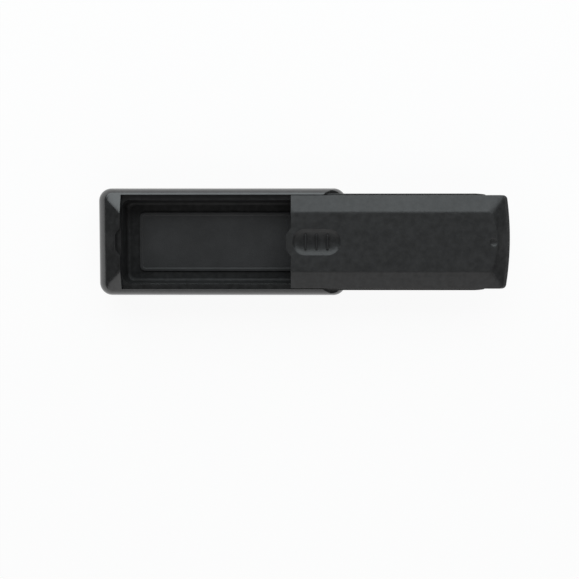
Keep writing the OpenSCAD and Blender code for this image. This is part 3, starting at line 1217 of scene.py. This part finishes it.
    def runners(self) -> Solid:
        """Makes the runners that slide in the tray's grooves.

        Returns:
            Both runners.
        """
        s = self.slide
        half = (s.runner_w + self.runner_root) / 2
        plan = (s.block_x + self.wall, self.rim_end, half, self.runner_r)
        leads = (self.runner_tail, self.runner_lead)
        low = Level(*plan, s.lid_z, *leads, self.runner_eases[0])
        high = Level(*plan, s.lid_z + s.runner_t, *leads, self.runner_eases[1])
        forms = []
        for side in (-1, 1):
            form = loft([low, high], Steps(end=16, corner=4, side=30, ease=3))
            y = side * (s.lid_half + s.runner_w - half)
            bmesh.ops.translate(form, vec=(0, y, 0), verts=form.verts)
            forms.append(form)
        return Solid(*forms)

    def build(self) -> Object:
        """Shapes and dresses the lid, slid out to its stop.

        Returns:
            The piece that stands for sliding_lid.
        """
        s = self.slide
        lid = self.cover().cut(self.hollow())
        lid.join(self.dish(self.wall / 2, s.crown_z - self.wall / 2))
        lid.cut(self.dish(0, s.crown_z), self.dimple())
        lugs = Solid(*(self.lug(side, self.lug_z, s.rim_h) for side in (-1, 1)))
        lid.join(self.ribs(), self.runners(), lugs)

        near = 0.05
        upright = 0.99

        def choose(centre: Vector, normal: Vector) -> int:
            """Returns 1 on the flat top and 0 elsewhere."""
            return int(centre.z > s.crown_z - near and normal.z > upright)

        return finish_piece(
            lid.slid(s.travel),
            "sliding_lid_moulding",
            "lid",
            "sliding_lid",
            [self.finish, self.grained],
            choose,
        )


@dataclass
class MagnetSet:
    """One magnet with its two pole plates and the pad that bonds it into its pocket."""

    end: End  # Which set it is
    ferrite: Material  # The magnet's material
    steel: Material  # The plates' material
    foam: Material  # The pad's material
    magnet_edges: Edges = Edges(0.5, 0.35)
    plate_edges: Edges = Edges(0.35, 0.25)
    pad_edges: Edges = Edges(0.3, 0.12)

    def piece(self, node: str, slot: str, finish: Material, edges: Edges) -> Object:
        """Makes a rounded block that fills a node's box.

        Args:
            node: The node that it stands for.
            slot: The record's material slot; not used.
            finish: Its material.
            edges: How its edges are rounded.

        Returns:
            The piece.
        """
        low, high = (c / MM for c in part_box(node))
        shape = Solid(bar((low.x, high.x, low.y, high.y, low.z, high.z), edges))
        return finish_piece(shape, f"{node}_block", "case", node, [finish])

    def build(self) -> list[Object]:
        """Builds the magnet, its plates and its pad.

        Returns:
            The pieces.
        """
        side = self.end.name.lower()
        pieces = [
            self.piece(f"magnet_{side}", "ferrite", self.ferrite, self.magnet_edges),
            self.piece(f"adhesive_pad_{side}", "adhesive", self.foam, self.pad_edges),
        ]
        for flank in Flank:
            node = f"pole_plate_{side}_{flank.name.lower()}"
            pieces.append(self.piece(node, "pole_steel", self.steel, self.plate_edges))
        return pieces


@dataclass
class FloorLiner:
    """The liner on the floor of the key space."""

    finish: Material  # Its material
    corner_r: float = 3.0  # Plan radius of its corners in millimetres
    border: float = 1.4  # Width of the pressed border
    press: float = 0.25  # Depth of the field inside the border
    slope: float = 0.4  # Width of the slope from the border down to the field
    edge_ease: float = 0.2  # How far its upper edge is rounded
    slope_ease: float = 0.15  # How far the slope's creases are rounded

    def build(self) -> Object:
        """Builds the liner with its pressed field.

        Returns:
            The piece that stands for floor_liner.
        """
        low, high = (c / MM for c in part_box("floor_liner"))
        bottom = Level(low.x, high.x, high.y, self.corner_r, low.z)
        top = replace(bottom, z=high.z, ease=self.edge_ease)
        lip = replace(top.inset(self.border), ease=self.slope_ease)
        sunk = replace(lip.inset(self.slope), z=high.z - self.press, ease=self.slope_ease)
        levels = [bottom, top, lip, sunk]
        shape = Solid(loft(levels, Steps(end=8, corner=8, side=20, ease=3)))
        return finish_piece(shape, "floor_liner_sheet", "case", "floor_liner", [self.finish])


# ---- The studio ----


@dataclass(frozen=True)
class Softbox:
    """A rectangular lamp."""

    name: str  # The lamp's name
    place: tuple[float, float, float]  # Where it stands, in metres
    aim: tuple[float, float, float]  # The point that it faces
    size: tuple[float, float]  # Its width and height in metres
    power: float  # Its power in watts
    colour: Colour = (1.0, 1.0, 1.0)  # Its colour

    def build(self) -> Object:
        """Builds the lamp in its place.

        Returns:
            The lamp.
        """
        data = bpy.data.lights.new(self.name, "AREA")
        data.shape = "RECTANGLE"
        data.size, data.size_y = self.size
        data.energy = self.power
        data.color = self.colour
        lamp = bpy.data.objects.new(self.name, data)
        lamp.location = self.place
        facing = Vector(self.aim) - Vector(self.place)
        lamp.rotation_euler = facing.to_track_quat("-Z", "Y").to_euler()
        bpy.context.scene.collection.objects.link(lamp)
        return lamp


@dataclass
class Studio:
    """A white floor, soft lamps and the camera of the photograph."""

    eye: tuple[float, float, float] = (0.04083, 0.00457, 0.51198)  # Where the camera stands, in metres
    target: tuple[float, float, float] = (0.0359, -0.0266, 0.0)  # The point on the floor that it faces
    lens: float = 57.3  # Its focal length in millimetres
    sensor: float = 36.0  # Width of its sensor in millimetres
    near: float = 0.01  # Nearest that it sees, in metres
    ambient: float = 0.12  # Strength of the world, apart from where the camera sees it
    floor_half: float = 0.5  # Half the floor's width in metres
    floor_white: float = 0.95  # Colour of the floor
    floor_glow: float = 0.92  # Share of plain white in what the camera and shiny surfaces see of the floor
    # The soft lamps, behind the object and in front of it
    lamps: tuple[Softbox, ...] = (
        Softbox("back_softbox", (0.04, 0.55, 0.4), (0.04, 0, 0.15), (1.6, 0.8), 8.6, (0.91, 0.98, 1.0)),
        Softbox("front_softbox", (0.04, -0.55, 0.4), (0.04, 0, 0.15), (1.6, 0.8), 3.2),
    )

    def camera(self) -> Object:
        """Builds the camera, with the photograph's top towards +Y.

        Returns:
            The camera.
        """
        data = bpy.data.cameras.new("camera")
        data.lens = self.lens
        data.sensor_width = self.sensor
        data.clip_start = self.near
        camera = bpy.data.objects.new("camera", data)
        back = (Vector(self.eye) - Vector(self.target)).normalized()
        right = Vector((0, 1, 0)).cross(back).normalized()
        turn = Matrix((right, back.cross(right), back)).transposed().to_4x4()
        camera.matrix_world = Matrix.Translation(self.eye) @ turn
        bpy.context.scene.collection.objects.link(camera)
        bpy.context.scene.camera = camera
        return camera

    def world(self) -> bpy.types.World:
        """Builds a plain dim world, which is white where the camera sees it.

        Returns:
            The world.
        """
        world = bpy.data.worlds.new("studio")
        world.use_nodes = True
        tree = world.node_tree
        tree.nodes.clear()
        kinds = ("Background", "Background", "LightPath", "MixShader", "OutputWorld")
        room, white, seen, mix, output = (tree.nodes.new("ShaderNode" + kind) for kind in kinds)
        for background in (room, white):
            background.inputs["Color"].default_value = (1, 1, 1, 1)
        room.inputs["Strength"].default_value = self.ambient
        tree.links.new(seen.outputs["Is Camera Ray"], mix.inputs[0])
        tree.links.new(room.outputs[0], mix.inputs[1])
        tree.links.new(white.outputs[0], mix.inputs[2])
        tree.links.new(mix.outputs[0], output.inputs["Surface"])
        bpy.context.scene.world = world
        return world

    def floor(self) -> Object:
        """Builds the white floor, which keeps the object's shadow.

        Returns:
            The floor.
        """
        bm = bmesh.new()
        bmesh.ops.create_grid(bm, x_segments=4, y_segments=4, size=self.floor_half)
        mesh = bpy.data.meshes.new("floor")
        bm.to_mesh(mesh)
        bm.free()
        floor = bpy.data.objects.new("floor", mesh)
        bpy.context.scene.collection.objects.link(floor)
        mix = Recipe("floor_paper")
        paper = mix.noise(3, detail=3)
        mix.dress(
            Base_Color=mix.tint(paper, (self.floor_white,) * 3, (self.floor_white + 0.02,) * 3),
            Roughness=0.9,
            Specular_IOR_Level=0.1,
        )
        seen = mix.node("LightPath").outputs
        rays = mix.maths("MAXIMUM", seen["Is Glossy Ray"], seen["Is Transmission Ray"])
        rays = mix.maths("MAXIMUM", seen["Is Camera Ray"], rays)
        share = mix.maths("MULTIPLY", rays, self.floor_glow)
        glow = mix.node("Emission", {"Color": (1, 1, 1, 1), "Strength": 1.0}).outputs[0]
        both = mix.node("MixShader", {0: share, 1: mix.shader.outputs[0], 2: glow}).outputs[0]
        output = next(n for n in mix.tree.nodes if n.bl_idname == "ShaderNodeOutputMaterial")
        mix.tree.links.new(both, output.inputs["Surface"])
        mesh.materials.append(mix.material)
        return floor

    def build(self) -> None:
        """Builds the camera, the world, the floor and the lamps."""
        bpy.context.scene.view_settings.view_transform = "Standard"
        self.camera()
        self.world()
        self.floor()
        for lamp in self.lamps:
            lamp.build()


def main() -> None:
    """Builds the studio and every piece."""
    logging.basicConfig(level=logging.INFO, format="%(message)s")
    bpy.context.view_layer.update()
    Studio().build()
    slide = SlideSizes.from_frame()
    glossy = MouldedPlastic(
        "case_plastic",
        colour=(0.016, 0.016, 0.0163),
        roughness=0.19,
        grain=0.3,
        grain_depth=0.006,
        mottle_depth=0.005,
        gloss=0.8,
    )
    satin = replace(glossy, name="lid_plastic", roughness=0.42, grain_depth=0.014, gloss=0.5)
    coarse = replace(
        satin, name="lid_grain", roughness=0.52, grain=0.34, grain_depth=0.03, mottle_depth=0.03
    )
    matt = replace(satin, name="case_inside", roughness=0.6, grain_depth=0.02, gloss=0.3)
    outside, slopes, flat, inside = (kind.material() for kind in (glossy, satin, coarse, matt))
    ferrite = GroundFerrite().material()
    steel = ZincSteel().material()
    foam = AcrylicFoam().material()
    made = [
        CaseTray(slide, outside, inside).build(),
        SlidingLid(slide, slopes, flat).build(),
        FloorLiner(EmbossedSheet().material()).build(),
    ]
    for end in End:
        made += MagnetSet(end, ferrite, steel, foam).build()
    for piece in made:
        log.info("%s: %d faces", piece.name, len(piece.data.polygons))


if __name__ == "__main__":
    main()
